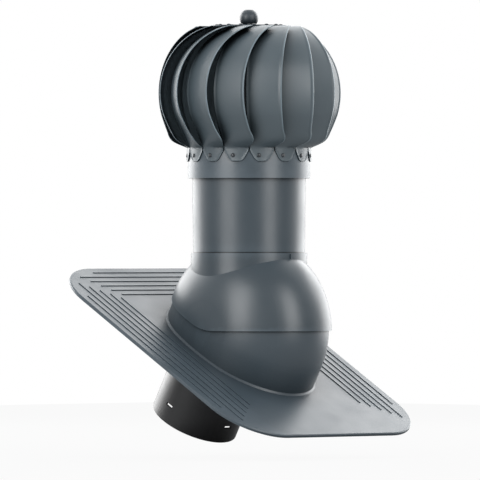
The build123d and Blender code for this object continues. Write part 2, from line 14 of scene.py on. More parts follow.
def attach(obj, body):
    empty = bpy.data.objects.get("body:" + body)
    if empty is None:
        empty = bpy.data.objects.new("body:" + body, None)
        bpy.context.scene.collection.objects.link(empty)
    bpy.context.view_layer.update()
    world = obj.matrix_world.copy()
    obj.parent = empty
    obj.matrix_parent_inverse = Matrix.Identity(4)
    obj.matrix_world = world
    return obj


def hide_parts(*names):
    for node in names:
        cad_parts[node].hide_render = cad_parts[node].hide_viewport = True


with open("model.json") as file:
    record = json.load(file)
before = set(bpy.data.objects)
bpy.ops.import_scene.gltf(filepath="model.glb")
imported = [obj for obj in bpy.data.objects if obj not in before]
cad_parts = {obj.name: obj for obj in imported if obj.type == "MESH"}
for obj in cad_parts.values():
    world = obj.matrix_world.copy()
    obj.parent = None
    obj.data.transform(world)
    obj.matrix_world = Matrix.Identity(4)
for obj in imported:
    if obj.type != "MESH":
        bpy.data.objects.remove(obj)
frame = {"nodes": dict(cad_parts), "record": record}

Colour = tuple[float, float, float]
Opaque = tuple[float, float, float, float]
Tree = bpy.types.NodeTree
Socket = bpy.types.NodeSocket

MM = 0.001
PER_METRE = 1000.0
ROOF_PITCH = 30.0
PIVOT_ABOVE_ROOF = 38.0
SWIVEL_AXIS_HEIGHT = PIVOT_ABOVE_ROOF / math.cos(math.radians(ROOF_PITCH))
POLE_RADIUS = 1e-6
TURNED_SHARP = 40.0
TURBINE_BODY = "turbine"

log = logging.getLogger("ventilator")


def level(height: float) -> float:
    """Returns Z in millimetres for a height above the swivel axis."""
    return SWIVEL_AXIS_HEIGHT + height


def around(radius: float, azimuth: float, height: float) -> Vector:
    """Returns the point at a radius, an azimuth in radians and a Z."""
    return Vector((radius * math.cos(azimuth), radius * math.sin(azimuth), height))


def arch(share: float) -> float:
    """Returns the height of a flat arch, 0 at both ends and 1 in the middle."""
    return 4.0 * share * (1.0 - share)


def through(points: list[Vector], share: float) -> Vector:
    """Follows the smooth line through four points, from the second to the third.

    Args:
        points: The four points.
        share: How far the wanted point is between the second and the third.

    Returns:
        The point.
    """
    before, start, end, after = points
    squared, cubed = share * share, share * share * share
    return 0.5 * (
        2 * start
        + (end - before) * share
        + (2 * before - 5 * start + 4 * end - after) * squared
        + (3 * start - before - 3 * end + after) * cubed
    )


def operate(tree: Tree, operation: str, *operands: Socket | float) -> Socket:
    """Adds an operation on levels.

    Args:
        tree: The tree that gets the node.
        operation: The operation's name.
        operands: Sockets or plain numbers, in the node's order.

    Returns:
        The socket with the result.
    """
    node = tree.nodes.new("ShaderNodeMath")
    node.operation = operation
    for place, operand in zip(node.inputs, operands):
        if isinstance(operand, float):
            place.default_value = operand
        else:
            tree.links.new(operand, place)
    return node.outputs[0]


def ramp(
    tree: Tree,
    value: Socket,
    across: tuple[float, float],
    ends: tuple[float, float] = (0.0, 1.0),
) -> Socket:
    """Adds a ramp that stays level beyond its ends.

    Args:
        tree: The tree that gets the node.
        value: The value that drives it.
        across: Where it starts and where it ends.
        ends: Its level at the start and at the end.

    Returns:
        The socket with the level.
    """
    node = tree.nodes.new("ShaderNodeMapRange")
    node.inputs["From Min"].default_value, node.inputs["From Max"].default_value = across
    node.inputs["To Min"].default_value, node.inputs["To Max"].default_value = ends
    tree.links.new(value, node.inputs["Value"])
    return node.outputs["Result"]


def blend(tree: Tree, share: Socket, base: Socket | Opaque, other: Socket | Opaque) -> Socket:
    """Adds a blend of two colours.

    Args:
        tree: The tree that gets the node.
        share: How much of the other colour shows.
        base: The colour where the share is 0.
        other: The colour where the share is 1.

    Returns:
        The socket with the colour.
    """
    node = tree.nodes.new("ShaderNodeMix")
    node.data_type = "RGBA"
    tree.links.new(share, node.inputs["Factor"])
    for name, colour in (("A", base), ("B", other)):
        if isinstance(colour, tuple):
            node.inputs[name].default_value = colour
        else:
            tree.links.new(colour, node.inputs[name])
    return node.outputs["Result"]


def noise(tree: Tree, place: Socket, scale: float, detail: float, roughness: float = 0.5) -> Socket:
    """Adds a cloudy variation.

    Args:
        tree: The tree that gets the node.
        place: The coordinates that it reads.
        scale: Its clouds in a metre.
        detail: How many finer layers it has.
        roughness: How strong each finer layer is.

    Returns:
        The socket with the variation.
    """
    node = tree.nodes.new("ShaderNodeTexNoise")
    node.inputs["Scale"].default_value = scale
    node.inputs["Detail"].default_value = detail
    node.inputs["Roughness"].default_value = roughness
    tree.links.new(place, node.inputs["Vector"])
    return node.outputs["Fac"]


def mix_shaders(tree: Tree, share: Socket, first: Socket, second: Socket) -> Socket:
    """Adds a mix of two shaders.

    Args:
        tree: The tree that gets the node.
        share: How much of the second shader shows.
        first: The shader where the share is 0.
        second: The shader where the share is 1.

    Returns:
        The socket with the mix.
    """
    node = tree.nodes.new("ShaderNodeMixShader")
    for place, source in zip(node.inputs, (share, first, second)):
        tree.links.new(source, place)
    return node.outputs[0]


def add_object(name: str, data: bpy.types.ID) -> bpy.types.Object:
    """Puts a new object in the scene, at the origin.

    Args:
        name: The object's name.
        data: Its mesh, camera or lamp.

    Returns:
        The object.
    """
    made = bpy.data.objects.new(name, data)
    bpy.context.scene.collection.objects.link(made)
    return made


class Grain(Enum):
    """Kinds of fine relief on a finish."""

    MOULDED = "moulded"
    ORANGE_PEEL = "orange_peel"
    TURNED = "turned"
    CELLS = "cells"


class Clouds(NamedTuple):
    """Detail and roughness of the noise that makes a grain."""

    detail: float
    roughness: float


GRAIN_CLOUDS: dict[Grain, Clouds] = {
    Grain.MOULDED: Clouds(5.0, 0.7),
    Grain.ORANGE_PEEL: Clouds(1.5, 0.4),
}


@dataclass(frozen=True)
class Finish:
    """A procedural finish: colour with slow variation, relief and uneven gloss, lighter edges that
    are partly a painted highlight, painted shade in corners and, on some, a painted gap shadow.

    Sizes are in millimetres. The names in capitals are the same for every finish.
    """

    name: str
    colour: Colour
    roughness: float = 0.4
    roughness_spread: float = 0.06
    metallic: float = 0.0
    specular: float = 0.9
    grain: Grain = Grain.MOULDED
    grain_size: float = 0.6
    relief: float = 0.02
    relief_strength: float = 0.25
    mottle: float = 0.08
    mottle_size: float = 60.0
    # The next two lighten convex edges: partly rubbed paint, partly a painted highlight.
    wear_and_highlight: float = 0.35
    wear_and_highlight_lift: float = 2.5
    # The next two paint the shadow of a gap just above the piece below, as a dark band.
    gap_shadow_level: float | None = None
    gap_shadow_width: float = 1.6
    # The next two paint shade into corners and recesses: a darker colour there.
    crevice_reach: float = 70.0
    painted_crevice_shade: float = 0.3

    MOTTLE_DETAIL: ClassVar[float] = 4.0
    GLOSS_ACROSS: ClassVar[tuple[float, float]] = (0.3, 0.7)
    # Ramps of the lighter edges: wear and painted highlight.
    EDGE_ACROSS: ClassVar[tuple[float, float]] = (0.52, 0.6)
    PATCH_ACROSS: ClassVar[tuple[float, float]] = (0.35, 0.6)
    PATCH_ENDS: ClassVar[tuple[float, float]] = (0.4, 1.0)
    # Ramp and samples of the painted shade in corners.
    UNSHADED_ACROSS: ClassVar[tuple[float, float]] = (0.25, 0.85)
    SHADE_SAMPLES: ClassVar[int] = 8
    # Colour and core of the painted gap shadow.
    GAP_SHADOW_COLOUR: ClassVar[float] = 0.08
    GAP_SHADOW_CORE: ClassVar[float] = 0.6
    BANDS_PER_SCALE: ClassVar[float] = 20.0
    BAND_DISTORTION: ClassVar[float] = 1.5

    def shade(self, factor: float) -> Opaque:
        """Returns the colour times a factor, without going past white."""
        return (*(min(1.0, c * factor) for c in self.colour), 1.0)

    def material(self) -> bpy.types.Material:
        """Builds the node tree.

        Returns:
            The finished material.
        """
        made = bpy.data.materials.new(self.name)
        made.use_nodes = True
        made.diffuse_color = self.shade(1.0)
        tree = made.node_tree
        shader = tree.nodes["Principled BSDF"]
        shader.inputs["Metallic"].default_value = self.metallic
        place = tree.nodes.new("ShaderNodeTexCoord").outputs["Object"]
        slow = noise(tree, place, PER_METRE / self.mottle_size, self.MOTTLE_DETAIL)

        colour = blend(tree, slow, self.shade(1.0 - self.mottle), self.shade(1.0 + self.mottle))
        # Lighter convex edges: rubbed paint and a painted highlight.
        colour = blend(tree, self._lit_and_rubbed_edges(tree, slow), colour, self.shade(self.wear_and_highlight_lift))
        # Painted shadow of the gap at the joint with the piece below.
        if self.gap_shadow_level is not None:
            colour = blend(tree, self._painted_gap_shadow(tree, place), colour, self.shade(self.GAP_SHADOW_COLOUR))
        # Painted shade: corners and recesses get a darker colour and a weaker sheen.
        unshaded_share = self._unshaded_mask(tree)
        colour = blend(tree, unshaded_share, self.shade(self.painted_crevice_shade), colour)
        tree.links.new(colour, shader.inputs["Base Color"])
        shaded_sheen = operate(tree, "MULTIPLY", unshaded_share, self.specular)
        tree.links.new(shaded_sheen, shader.inputs["Specular IOR Level"])

        smooth = self.roughness - self.roughness_spread
        rough = self.roughness + self.roughness_spread
        gloss = ramp(tree, slow, self.GLOSS_ACROSS, (smooth, rough))
        tree.links.new(gloss, shader.inputs["Roughness"])

        bump = tree.nodes.new("ShaderNodeBump")
        bump.inputs["Strength"].default_value = self.relief_strength
        bump.inputs["Distance"].default_value = self.relief * MM
        tree.links.new(self._relief(tree, place), bump.inputs["Height"])
        tree.links.new(bump.outputs["Normal"], shader.inputs["Normal"])
        return made

    def _lit_and_rubbed_edges(self, tree: Tree, uneven: Socket) -> Socket:
        """Adds the mask of the convex edges, lightened for rubbed paint and for a painted
        highlight.

        Args:
            tree: The material's node tree.
            Slow variation that breaks the wear and the painted highlight up.

        Returns:
            The socket with the amount of wear and painted highlight.
        """
        pointed = tree.nodes.new("ShaderNodeNewGeometry").outputs["Pointiness"]
        edge = ramp(tree, pointed, self.EDGE_ACROSS, (0.0, self.wear_and_highlight))
        patches = ramp(tree, uneven, self.PATCH_ACROSS, self.PATCH_ENDS)
        return operate(tree, "MULTIPLY", edge, patches)

    def _unshaded_mask(self, tree: Tree) -> Socket:
        """Adds the mask of the painted shade in corners and recesses, from how open each face is.

        Args:
            tree: The material's node tree.

        Returns:
            The socket that is 1 on an open face and 0 deep in a corner.
        """
        closeness = tree.nodes.new("ShaderNodeAmbientOcclusion")
        closeness.samples = self.SHADE_SAMPLES
        closeness.inputs["Distance"].default_value = self.crevice_reach * MM
        return ramp(tree, closeness.outputs["AO"], self.UNSHADED_ACROSS)

    def _painted_gap_shadow(self, tree: Tree, place: Socket) -> Socket:
        """Adds the mask of the painted shadow of the gap at the joint with the piece below.

        Args:
            tree: The material's node tree.
            place: The coordinates that the mask reads.

        Returns:
            The socket with the amount of painted shadow.
        """
        parts = tree.nodes.new("ShaderNodeSeparateXYZ")
        tree.links.new(place, parts.inputs["Vector"])
        foot = level(self.gap_shadow_level)
        shadow_top = (foot + self.gap_shadow_width) * MM
        shadow_core = (foot + self.gap_shadow_width * self.GAP_SHADOW_CORE) * MM
        return ramp(tree, parts.outputs["Z"], (shadow_top, shadow_core))

    def _relief(self, tree: Tree, place: Socket) -> Socket:
        """Adds the texture that the relief follows.

        Args:
            tree: The material's node tree.
            place: The coordinates that the texture reads.

        Returns:
            The socket with the relief's height.
        """
        scale = PER_METRE / self.grain_size
        if self.grain is Grain.TURNED:
            rings = tree.nodes.new("ShaderNodeTexWave")
            rings.bands_direction = "Z"
            rings.inputs["Scale"].default_value = scale / self.BANDS_PER_SCALE
            rings.inputs["Distortion"].default_value = self.BAND_DISTORTION
            tree.links.new(place, rings.inputs["Vector"])
            return rings.outputs["Fac"]
        if self.grain is Grain.CELLS:
            cells = tree.nodes.new("ShaderNodeTexVoronoi")
            cells.inputs["Scale"].default_value = scale
            tree.links.new(place, cells.inputs["Vector"])
            return cells.outputs["Distance"]
        return noise(tree, place, scale, *GRAIN_CLOUDS[self.grain])


FINISHES: tuple[Finish, ...] = (
    Finish("flashing_plastic", (0.046, 0.064, 0.078), 0.42, 0.05, grain_size=0.7),
    Finish("spigot_plastic", (0.008, 0.008, 0.009), 0.40, 0.05),
    Finish("hood_plastic", (0.044, 0.060, 0.072), 0.36, 0.04, grain_size=0.7),
    # The pipe gets a painted gap shadow just above the hood's collar.
    Finish("pipe_plastic", (0.046, 0.063, 0.076), 0.36, 0.04, grain_size=0.7, gap_shadow_level=107.0),
    Finish("duct_plastic", (0.03, 0.031, 0.033), 0.45),
    Finish("insulation", (0.55, 0.54, 0.50), 0.9, grain=Grain.CELLS, grain_size=1.5, relief=0.4),
    Finish("seal_rubber", (0.02, 0.02, 0.02), 0.75, grain_size=0.4),
    Finish("bracket_paint", (0.05, 0.06, 0.07), 0.4, grain=Grain.ORANGE_PEEL, grain_size=1.2),
    # The vanes get strong painted shade in their corners, and lighter edges that are partly a
    # painted highlight.
    Finish(
        "vane_paint", (0.070, 0.094, 0.108), 0.42, grain=Grain.ORANGE_PEEL, grain_size=1.2,
        wear_and_highlight=0.6, wear_and_highlight_lift=3.5, painted_crevice_shade=0.1, crevice_reach=50.0,
    ),
    Finish("collar_paint", (0.048, 0.064, 0.076), 0.36, grain=Grain.ORANGE_PEEL, grain_size=1.2),
    Finish("knob_paint", (0.036, 0.048, 0.058), 0.42, grain=Grain.ORANGE_PEEL, grain_size=1.0),
    Finish("rivet_metal", (0.02, 0.025, 0.03), 0.3, grain=Grain.ORANGE_PEEL, grain_size=0.5),
    Finish(
        "hub_metal", (0.62, 0.63, 0.64), 0.32, metallic=1.0, grain=Grain.TURNED, grain_size=0.8,
    ),
    Finish("steel", (0.58, 0.58, 0.58), 0.3, metallic=1.0, grain=Grain.TURNED, grain_size=0.8),
    Finish(
        "bearing_steel", (0.7, 0.7, 0.71), 0.16, metallic=1.0, grain=Grain.TURNED, grain_size=0.5,
    ),
)


class Workshop:
    """Keeps the materials and turns meshes into finished pieces."""

    def __init__(self) -> None:
        """Makes one material for each finish."""
        self.materials = {finish.name: finish.material() for finish in FINISHES}

    def dress_nodes(self) -> None:
        """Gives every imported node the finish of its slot."""
        for part in frame["record"]["subparts"]:
            node = frame["nodes"][part["node"]]
            node.data.materials.clear()
            node.data.materials.append(self.materials[part["material_slot"]])
            log.info("%s dressed as %s", node.name, part["material_slot"])

    def piece(self, name: str, form: bmesh.types.BMesh, sharp: float) -> bpy.types.Object:
        """Turns a form in millimetres into an object.

        Args:
            name: The object's name.
            form: The form, which is freed.
            sharp: Angle in degrees above which an edge stays sharp.

        Returns:
            The new object, at the origin.
        """
        mesh = bpy.data.meshes.new(name)
        bmesh.ops.scale(form, vec=(MM, MM, MM), verts=form.verts)
        form.to_mesh(mesh)
        form.free()
        mesh.polygons.foreach_set("use_smooth", [True] * len(mesh.polygons))
        mesh.set_sharp_from_angle(angle=math.radians(sharp))
        return add_object(name, mesh)

    def finish(self, piece: bpy.types.Object, slot: str, stands_for: list[str]) -> None:
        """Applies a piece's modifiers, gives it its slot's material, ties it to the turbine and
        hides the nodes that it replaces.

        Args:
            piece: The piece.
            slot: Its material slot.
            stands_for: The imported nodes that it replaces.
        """
        bpy.context.view_layer.update()
        evaluated = piece.evaluated_get(bpy.context.evaluated_depsgraph_get())
        plain = bpy.data.meshes.new_from_object(evaluated)
        piece.modifiers.clear()
        piece.data = plain
        plain.materials.clear()
        plain.materials.append(self.materials[slot])
        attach(piece, TURBINE_BODY)
        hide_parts(*stands_for)
        log.info("%s: %d faces", piece.name, len(plain.polygons))


def ring_tree(material: bpy.types.Material) -> Tree:
    """Builds the tree that repeats a piece evenly round the turbine's axis.

    Args:
        material: The material of every copy.

    Returns:
        The tree, with inputs for the count and the first azimuth.
    """
    tree = bpy.data.node_groups.new("ring_of_copies", "GeometryNodeTree")
    face = tree.interface
    face.new_socket("Geometry", in_out="INPUT", socket_type="NodeSocketGeometry")
    face.new_socket("Count", in_out="INPUT", socket_type="NodeSocketInt")
    face.new_socket("First azimuth", in_out="INPUT", socket_type="NodeSocketFloat")
    face.new_socket("Geometry", in_out="OUTPUT", socket_type="NodeSocketGeometry")
    nodes, links = tree.nodes, tree.links
    start, end = nodes.new("NodeGroupInput"), nodes.new("NodeGroupOutput")
    points = nodes.new("GeometryNodePoints")
    links.new(start.outputs["Count"], points.inputs["Count"])
    step = operate(tree, "DIVIDE", math.tau, start.outputs["Count"])
    index = nodes.new("GeometryNodeInputIndex").outputs["Index"]
    turn = operate(tree, "MULTIPLY_ADD", index, step, start.outputs["First azimuth"])
    rotation = nodes.new("ShaderNodeCombineXYZ")
    links.new(turn, rotation.inputs["Z"])
    copies = nodes.new("GeometryNodeInstanceOnPoints")
    links.new(points.outputs[0], copies.inputs["Points"])
    links.new(start.outputs["Geometry"], copies.inputs["Instance"])
    links.new(rotation.outputs["Vector"], copies.inputs["Rotation"])
    real = nodes.new("GeometryNodeRealizeInstances")
    links.new(copies.outputs["Instances"], real.inputs["Geometry"])
    coat = nodes.new("GeometryNodeSetMaterial")
    coat.inputs["Material"].default_value = material
    links.new(real.outputs["Geometry"], coat.inputs["Geometry"])
    links.new(coat.outputs["Geometry"], end.inputs[0])
    return tree


def repeat_round(
    piece: bpy.types.Object, material: bpy.types.Material, count: int, first: float
) -> None:
    """Adds the ring of copies to a piece that stands at azimuth zero.

    Args:
        piece: The unit piece.
        material: The material of every copy.
        count: How many copies stand round the axis.
        first: Azimuth of the first copy, in degrees.
    """
    modifier = piece.modifiers.new("ring", "NODES")
    modifier.node_group = ring_tree(material)
    items = modifier.node_group.interface.items_tree
    sockets = {item.name: item.identifier for item in items if item.in_out == "INPUT"}
    modifier[sockets["Count"]] = count
    modifier[sockets["First azimuth"]] = math.radians(first)


def turned_form(
    profile: list[tuple[float, float]], segments: int, turn: Matrix | None = None
) -> bmesh.types.BMesh:
    """Turns a profile about the Z axis into a closed form.

    Args:
        profile: Corners as (radius, height), from the lower pole to the upper pole.
        segments: Steps round the axis.
        turn: Matrix that puts the form in place.

    Returns:
        The form, with its poles closed and faces outwards.
    """
    form = bmesh.new()
    rings = []
    for radius, height in profile:
        if radius < POLE_RADIUS:
            rings.append([form.verts.new((0.0, 0.0, height))])
            continue
        angles = [math.tau * step / segments for step in range(segments)]
        rings.append([form.verts.new(around(radius, angle, height)) for angle in angles])
    for lower, upper in zip(rings, rings[1:]):
        for step in range(segments):
            after = (step + 1) % segments
            corners = [lower[step % len(lower)], lower[after % len(lower)]]
            corners += [upper[after % len(upper)], upper[step % len(upper)]]
            form.faces.new(list(dict.fromkeys(corners)))
    if turn is not None:
        bmesh.ops.transform(form, matrix=turn, verts=form.verts)
    bmesh.ops.recalc_face_normals(form, faces=form.faces)
    return form


class Section(NamedTuple):
    """A level of the lower blade, with the radius and azimuth of its two edges."""

    height: float
    inner_radius: float
    inner_azimuth: float
    outer_radius: float
    outer_azimuth: float


@dataclass
class Vanes:
    """The fifteen bent vanes, each with its tab on the disc and its petal on the rotor collar.

    Sizes are in millimetres and degrees, and heights are above the swivel axis.
    """

    count: int = 15
    first_azimuth: float = 18.1
    sheet: float = 0.9
    turn: float = 19.0
    sharp: float = 50.0
    equator: float = 331.0
    arc_centre: float = 15.4
    arc_radius: float = 94.9
    inner: float = 14.1
    outer: float = 65.1
    top: float = 423.8
    corner_level: float = 403.0
    tab_inner: float = 25.0
    tab_reach: float = 27.0
    tab_share: float = 0.66
    tab_rows: int = 4
    crown: float = 0.8
    crown_fade_rows: int = 4
    bead_width: float = 3.0
    bead_height: float = 0.8
    bead_steps: tuple[float, ...] = (0.0, 0.35, 0.7, 1.0)
    columns: int = 24
    upper_rows: int = 26
    split: float = 300.0
    split_lead: float = 12.0
    lower_sections: tuple[Section, ...] = (
        Section(280.0, 97.2, -10.6, 116.0, 15.2),
        Section(264.5, 90.6, -9.6, 108.0, 18.3),
        Section(254.0, 86.1, -8.2, 86.1, 14.3),
    )
    lower_rows: int = 5
    petal_radius: float = 86.1
    petal_start: float = -8.2
    petal_sweep: float = 22.5
    petal_corner: float = 249.5
    petal_bottom: float = 235.0
    petal_toe: float = 8.5
    petal_round: float = 5.0
    petal_rows: int = 12
    petal_lift: float = 1.0
    petal_lift_width: float = 1.5

    def lean(self) -> float:
        """Returns the azimuth that the upper blade faces, in radians."""
        return math.radians(-self.turn)

    def reach(self, height: float) -> float:
        """Returns the blade's distance from the axis along its lean at a height."""
        return self.arc_centre + math.sqrt(self.arc_radius**2 - (height - self.equator) ** 2)

    def strip_point(self, height: float, along: float) -> Vector:
        """Returns a point of the upper blade.

        Args:
            height: Height above the swivel axis.
            along: Distance along the blade's width.

        Returns:
            The point.
        """
        lean = self.lean()
        out = around(1.0, lean, 0.0)
        side = Vector((-math.sin(lean), math.cos(lean), 0.0))
        return out * self.reach(height) + side * along + Vector((0.0, 0.0, level(height)))

    def inner_edge(self, height: float) -> float:
        """Returns where the inner long edge lies, with its cut-back corner.

        Args:
            height: Height above the swivel axis.

        Returns:
            The edge's distance along the blade's width.
        """
        if height <= self.corner_level:
            return self.inner
        share = (height - self.corner_level) / (self.top - self.corner_level)
        return self.inner + share * (self.tab_inner - self.inner)

    def shares(self) -> list[float]:
        """Spaces the columns, close together at the two beads.

        Returns:
            The columns' shares of the width.
        """
        width = self.outer - self.inner
        low = [self.bead_width * step / width for step in self.bead_steps]
        high = [1.0 - share for share in reversed(low)]
        middle_count = self.columns - len(low) - len(high)
        step = (high[0] - low[-1]) / (middle_count + 1)
        return low + [low[-1] + step * (k + 1) for k in range(middle_count)] + high

    def bead(self, share: float) -> float:
        """Returns how far the bead along each edge stands out at a share of the width."""
        near = min(share, 1.0 - share) * (self.outer - self.inner)
        return math.sin(math.pi * min(1.0, near / self.bead_width)) * self.bead_height

    def swell(self, share: float) -> float:
        """Returns how far the sheet stands out, with its crown and edge beads."""
        return self.crown * arch(share) + self.bead(share)

    def upper(self, shares: list[float]) -> list[list[Vector]]:
        """Returns the rows of the upper blade, which follows one arc.

        Args:
            shares: The columns' shares of the width.

        Returns:
            The rows from the head to the split.
        """
        lean = self.lean()
        angle_top = math.asin((self.top - self.equator) / self.arc_radius)
        angle_split = math.asin((self.split - self.equator) / self.arc_radius)
        found = []
        for row in range(self.upper_rows + 1):
            angle = angle_top + (angle_split - angle_top) * row / self.upper_rows
            height = self.equator + self.arc_radius * math.sin(angle)
            start = self.inner_edge(height)
            fade = min(1.0, row / self.crown_fade_rows)
            normal = around(math.cos(angle), lean, math.sin(angle))
            points = []
            for share in shares:
                point = self.strip_point(height, start + share * (self.outer - start))
                points.append(point + normal * self.swell(share) * fade)
            found.append(points)
        return found

    def edge_points(self) -> tuple[list[Vector], list[Vector]]:
        """Finds the lower blade's corners, from the split to the petal.

        Returns:
            The inner edge's corners and the outer edge's.
        """
        inner = [self.strip_point(self.split, self.inner)]
        outer = [self.strip_point(self.split, self.outer)]
        for at in self.lower_sections:
            height = level(at.height)
            inner.append(around(at.inner_radius, math.radians(at.inner_azimuth), height))
            outer.append(around(at.outer_radius, math.radians(at.outer_azimuth), height))
        return inner, outer

    def edge_line(self, edge: list[Vector], along: float) -> list[Vector]:
        """Lengthens one edge of the lower blade at both ends, so that its line runs on smoothly.

        Args:
            edge: The edge's corners.
            along: Where the edge lies on the upper blade's width.

        Returns:
            The corners with one more before and one more after.
        """
        above = self.strip_point(self.split + self.split_lead, along)
        return [above, *edge, edge[-1] * 2 - edge[-2]]

    def lower(self, shares: list[float]) -> list[list[Vector]]:
        """Returns the rows of the lower blade, which draws in to the petal.

        Args:
            shares: The columns' shares of the width.

        Returns:
            The rows below the split, the last one on the petal's top line.
        """
        inner, outer = self.edge_points()
        inner_line = self.edge_line(inner, self.inner)
        outer_line = self.edge_line(outer, self.outer)
        found = []
        spans = len(self.lower_sections)
        for span in range(spans):
            for row in range(1, self.lower_rows + 1):
                share_down = row / self.lower_rows
                start = through(inner_line[span : span + 4], share_down)
                end = through(outer_line[span : span + 4], share_down)
                wrap = max(0.0, (span + share_down - 1.0) / (spans - 1.0))
                found.append(self.lower_row(shares, start, end, wrap))
        return found

    def lower_row(
        self, shares: list[float], start: Vector, end: Vector, wrap: float
    ) -> list[Vector]:
        """Returns one row of the lower blade.

        Args:
            shares: The columns' shares of the width.
            start: The row's inner end.
            end: The row's outer end.
            wrap: How far the row has bent round the rotor collar, from 0 to 1.

        Returns:
            The row's points.
        """
        chord = end - start
        normal = Vector((chord.y, -chord.x, 0.0)).normalized()
        bow = self.petal_radius * (1.0 - math.cos(math.radians(self.petal_sweep / 2)))
        points = []
        for share in shares:
            swell = self.swell(share) * (1.0 - wrap) + bow * arch(share) * wrap
            points.append(start + chord * share + normal * swell)
        return points

    def petal(self, shares: list[float]) -> list[list[Vector]]:
        """Returns the petal's rows, which narrow to a rounded toe.

        Args:
            shares: The columns' shares of the width.

        Returns:
            The rows below the petal's top line.
        """
        top = self.lower_sections[-1].height
        found = []
        for row in range(1, self.petal_rows + 1):
            drop = math.sin(math.pi / 2 * row / self.petal_rows)
            height = top + (self.petal_bottom - top) * drop
            width = self.petal_half_width(height)
            found.append([self.petal_point(width, share, height) for share in shares])
        return found

    def petal_half_width(self, height: float) -> float:
        """Returns half of the petal's width, measured round the rotor collar.

        Args:
            height: Height above the swivel axis.

        Returns:
            The half width.
        """
        width = self.petal_radius * math.radians(self.petal_sweep) / 2
        if height < self.petal_corner:
            slope = (width - self.petal_toe) / (self.petal_corner - self.petal_bottom)
            width = self.petal_toe + slope * (height - self.petal_bottom)
        over = self.petal_bottom + self.petal_round - height
        if over > 0:
            width -= self.petal_round - math.sqrt(max(0.0, self.petal_round**2 - over**2))
        return width

    def petal_point(self, width: float, share: float, height: float) -> Vector:
        """Returns one point of the petal, whose rim stands a little off the rotor collar.

        Args:
            width: Half of the petal's width at this height.
            share: Share of the width.
            height: Height above the swivel axis.

        Returns:
            The point.
        """
        middle = math.radians(self.petal_start + self.petal_sweep / 2)
        turn = middle + width * (2 * share - 1) / self.petal_radius
        rim = min(width * 2 * min(share, 1.0 - share), height - self.petal_bottom)
        radius = self.petal_radius + self.petal_lift * math.exp(-rim / self.petal_lift_width)
        return around(radius, turn, level(height))

    def form(self) -> bmesh.types.BMesh:
        """Builds the sheet of one vane at azimuth zero, from its tab to its petal's toe.

        Returns:
            The sheet, without its thickness.
        """
        form = bmesh.new()
        shares = self.shares()
        rows = self.upper(shares) + self.lower(shares) + self.petal(shares)
        grid = [[form.verts.new(point) for point in row] for row in rows]
        for above, below in zip(grid, grid[1:]):
            for k in range(len(above) - 1):
                form.faces.new((above[k], below[k], below[k + 1], above[k + 1]))
        out = around(1.0, self.lean(), 0.0)
        inward = self.reach(self.top) - self.tab_reach
        row = grid[0][: int(len(grid[0]) * self.tab_share)]
        for _ in range(self.tab_rows):
            folded = [form.verts.new(v.co - out * inward / self.tab_rows) for v in row]
            for k in range(len(row) - 1):
                form.faces.new((folded[k], row[k], row[k + 1], folded[k + 1]))
            row = folded
        bmesh.ops.recalc_face_normals(form, faces=form.faces)
        return form

    def build(self, shop: Workshop) -> None:
        """Builds all vanes as one piece.

        Args:
            shop: Where the piece is finished.
        """
        piece = shop.piece("turbine_vanes", self.form(), self.sharp)
        wall = piece.modifiers.new("sheet", "SOLIDIFY")
        wall.thickness = self.sheet * MM
        wall.offset = 0.0
        repeat_round(piece, shop.materials["vane_paint"], self.count, self.first_azimuth)
        nodes = [f"vane_{number:02d}" for number in range(1, self.count + 1)]
        shop.finish(piece, "vane_paint", nodes)


